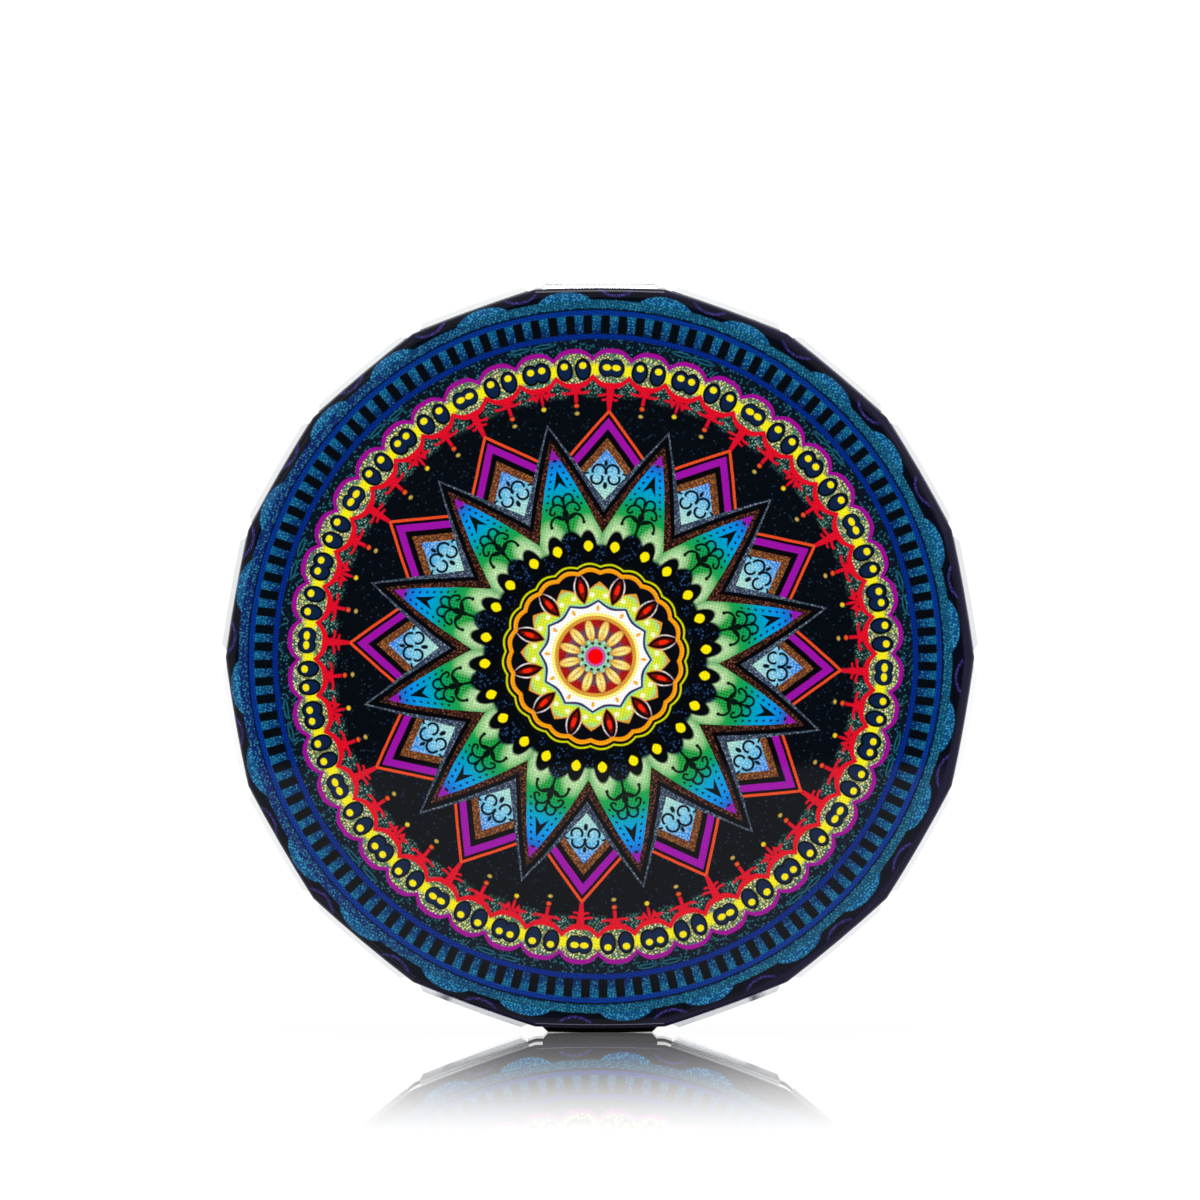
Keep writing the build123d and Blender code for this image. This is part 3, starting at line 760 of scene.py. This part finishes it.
finishes = {
    "printed_sheet": printedSheet(),
    "black_plastic": blackPlastic(),
    "foam_pad": foam(),
    "mirror_glass": mirrorGlass(),
    "bezel_metal": brushed("bezelMetal", "d8d9dc", 0.16, wear=0.35, fine=3.0),
    "magnet_nickel": brushed("magnetNickel", "c9c6bd", 0.18, (1.0, 0.3, 1.0), wear=0.3, fine=2.0),
    "clear_silicone": silicone(),
    "hinge_steel": brushed("hingeSteel", "bfc2c6", 0.26, (0.25, 1.0, 1.0), wear=0.8),
    "rivet_steel": brushed("rivetSteel", "c4c6ca", 0.24, wear=0.6, fine=5.0),
    "girdle_metal": brushed("girdleMetal", "c3c6cb", 0.30, (1.0, 0.12, 1.0), wear=0.7, fine=3.0),
    "polished_bar": polishedBarPaintedShade(),
    "pin_steel": brushed("pinSteel", "b5b8bd", 0.22, (0.2, 1.0, 1.0), wear=0.6),
    "washer_bronze": brushed("washerBronze", "c8bda6", 0.3, wear=0.6, fine=5.0),
}
slotOf = {entry["node"]: entry["material_slot"] for entry in frame["record"]["subparts"]}
for name, piece in nodes.items():
    for place in piece.material_slots:
        place.material = finishes[slotOf[name]]
print("finishes on:", len(slotOf), "pieces")


pads = {"edge": 0.12 * mm, "steps": 96, "fill": 0.9}


def makePad(node, body, padName):  # a foam disc with a rounded edge, in the CAD pad's place
    low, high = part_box(node)
    radius = (high.x - low.x) / 2
    thick = high.y - low.y
    shape = bmesh.new()
    bmesh.ops.create_circle(shape, cap_ends=True, segments=pads["steps"], radius=radius)
    lifted = bmesh.ops.extrude_face_region(shape, geom=shape.faces[:])
    top = [part for part in lifted["geom"] if isinstance(part, bmesh.types.BMVert)]
    bmesh.ops.translate(shape, verts=top, vec=(0, 0, thick))
    sharp = [edge for edge in shape.edges if edge.is_manifold and edge.calc_face_angle() > 1]
    bmesh.ops.bevel(
        shape, geom=sharp, offset=pads["edge"], segments=3, profile=0.5, affect="EDGES", material=-1,
    )
    bmesh.ops.translate(shape, verts=shape.verts, vec=(0, 0, -thick / 2))
    upright = Matrix.Rotation(radians(90), 3, "X")
    bmesh.ops.rotate(shape, verts=shape.verts, cent=(0, 0, 0), matrix=upright)
    bmesh.ops.translate(shape, verts=shape.verts, vec=(low + high) / 2)
    bmesh.ops.recalc_face_normals(shape, faces=shape.faces)
    mesh = bpy.data.meshes.new(padName)
    shape.to_mesh(mesh)
    shape.free()
    mesh.materials.append(finishes["foam_pad"])
    pad = bpy.data.objects.new(padName, mesh)
    bpy.context.scene.collection.objects.link(pad)
    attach(pad, body)
    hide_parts(node)


makePad("lid_mirror_pad", "lid", "lid_foam_pad")
makePad("base_mirror_pad", "base", "base_foam_pad")
print("foam pads made")


floorSizes = {
    "front": -0.90, "back": 3.0, "half": 3.0,    # its edges, in metres
    "gloss": 0.93, "reach": 0.085, "drop": 2.6,  # how much it mirrors, how far out, how fast that fades
    "polish": 0.003, "glow": 0.80, "grey": 0.25,
}


def makeFloor():  # a white sheet that mirrors the case near its foot
    shape = bmesh.new()
    bmesh.ops.create_grid(shape, x_segments=1, y_segments=1, size=1)
    reach = (floorSizes["back"] - floorSizes["front"]) / 2
    bmesh.ops.scale(shape, verts=shape.verts, vec=(floorSizes["half"], reach, 1))
    bmesh.ops.translate(shape, verts=shape.verts, vec=(0, floorSizes["front"] + reach, 0))
    mesh = bpy.data.meshes.new("floor")
    shape.to_mesh(mesh)
    shape.free()
    material = bpy.data.materials.new("floor")
    material.use_nodes = True
    tree = material.node_tree
    tree.nodes.clear()
    matt = tree.nodes.new("ShaderNodeBsdfDiffuse")
    matt.inputs["Color"].default_value = (floorSizes["grey"],) * 3 + (1,)
    glow = tree.nodes.new("ShaderNodeEmission")
    glow.inputs["Strength"].default_value = floorSizes["glow"]
    paper = tree.nodes.new("ShaderNodeAddShader")
    tree.links.new(matt.outputs[0], paper.inputs[0])
    tree.links.new(glow.outputs[0], paper.inputs[1])
    gloss = tree.nodes.new("ShaderNodeBsdfGlossy")
    gloss.inputs["Color"].default_value = (1, 1, 1, 1)
    gloss.inputs["Roughness"].default_value = floorSizes["polish"]
    length = tree.nodes.new("ShaderNodeVectorMath")
    length.operation = "LENGTH"
    tree.links.new(objectPlace(tree, 1.0).socket, length.inputs[0])
    far = Wire(tree, length.outputs["Value"]) * (1 / floorSizes["reach"])
    fall = far.power(floorSizes["drop"]) * -1.0
    share = fall.apply("EXPONENT", fall) * floorSizes["gloss"]
    mix = tree.nodes.new("ShaderNodeMixShader")
    for place, end in enumerate((share.socket, paper.outputs[0], gloss.outputs[0])):
        tree.links.new(end, mix.inputs[place])
    out = tree.nodes.new("ShaderNodeOutputMaterial")
    tree.links.new(mix.outputs[0], out.inputs["Surface"])
    mesh.materials.append(material)
    floor = bpy.data.objects.new("floor", mesh)
    bpy.context.scene.collection.objects.link(floor)


room = {
    "low": (0.985, 0.985, 0.99, 1), "high": (1.08, 1.08, 1.08, 1), "rise": (0.0, 0.7),
    "dark": (0.004, 0.004, 0.005, 1), "darkEdge": (0.9880, 0.9958),  # cosines of about 9 and 5 degrees
    "backdrop": (1.05, 1.05, 1.05, 1),
}


def makeRoom():  # a white studio that is dark only straight in front of the case
    world = bpy.data.worlds.new("studio")
    bpy.context.scene.world = world
    world.use_nodes = True
    tree = world.node_tree
    back = tree.nodes["Background"]
    back.inputs["Strength"].default_value = 1.0
    place = tree.nodes.new("ShaderNodeTexCoord")
    toward = tree.nodes.new("ShaderNodeVectorMath")
    toward.operation = "DOT_PRODUCT"
    toward.inputs[1].default_value = (0, -1, 0)
    tree.links.new(place.outputs["Generated"], toward.inputs[0])
    facing = Wire(tree, toward.outputs["Value"])
    height = axes(Wire(tree, place.outputs["Generated"]))[2]
    light = lay(room["low"], room["high"], spread(height, *room["rise"]))
    light = lay(light, room["dark"], spread(facing, *room["darkEdge"]))
    rays = tree.nodes.new("ShaderNodeLightPath")
    light = lay(light, room["backdrop"], Wire(tree, rays.outputs["Is Camera Ray"]))
    tree.links.new(light.socket, back.inputs["Color"])


lights = {  # place in metres, side in metres, watts
    "key": ((-0.60, -0.65, 0.55), 0.45, 0.8),
    "fill": ((0.65, -0.60, 0.45), 0.45, 0.5),
    "overhead": ((0.0, -0.06, 0.75), 0.26, 2.8),
}


def addLight(name, place, side, watts):
    lamp = bpy.data.lights.new(name, "AREA")
    lamp.size = side
    lamp.energy = watts
    holder = bpy.data.objects.new(name, lamp)
    holder.location = place
    aim = Vector((0, 0, caseMiddle.z)) - Vector(place)
    holder.rotation_euler = aim.to_track_quat("-Z", "Y").to_euler()
    bpy.context.scene.collection.objects.link(holder)


view = {"distance": 0.55, "high": 4.71 * mm, "frame": 97.5 * mm, "sensor": 36.0, "nearest": 0.01}


def addCamera():  # level, square on to the lid
    data = bpy.data.cameras.new("camera")
    data.sensor_width = view["sensor"]
    data.lens = view["sensor"] * view["distance"] / view["frame"]
    data.clip_start = view["nearest"]
    camera = bpy.data.objects.new("camera", data)
    camera.location = (caseMiddle.x, coverLow.y - view["distance"], caseMiddle.z + view["high"])
    camera.rotation_euler = (radians(90), 0, 0)
    bpy.context.scene.collection.objects.link(camera)
    bpy.context.scene.camera = camera


makeFloor()
makeRoom()
for name, (place, side, watts) in lights.items():
    addLight(name, place, side, watts)
addCamera()
bpy.context.scene.view_settings.view_transform = "Standard"
print("stage, lights and camera set")
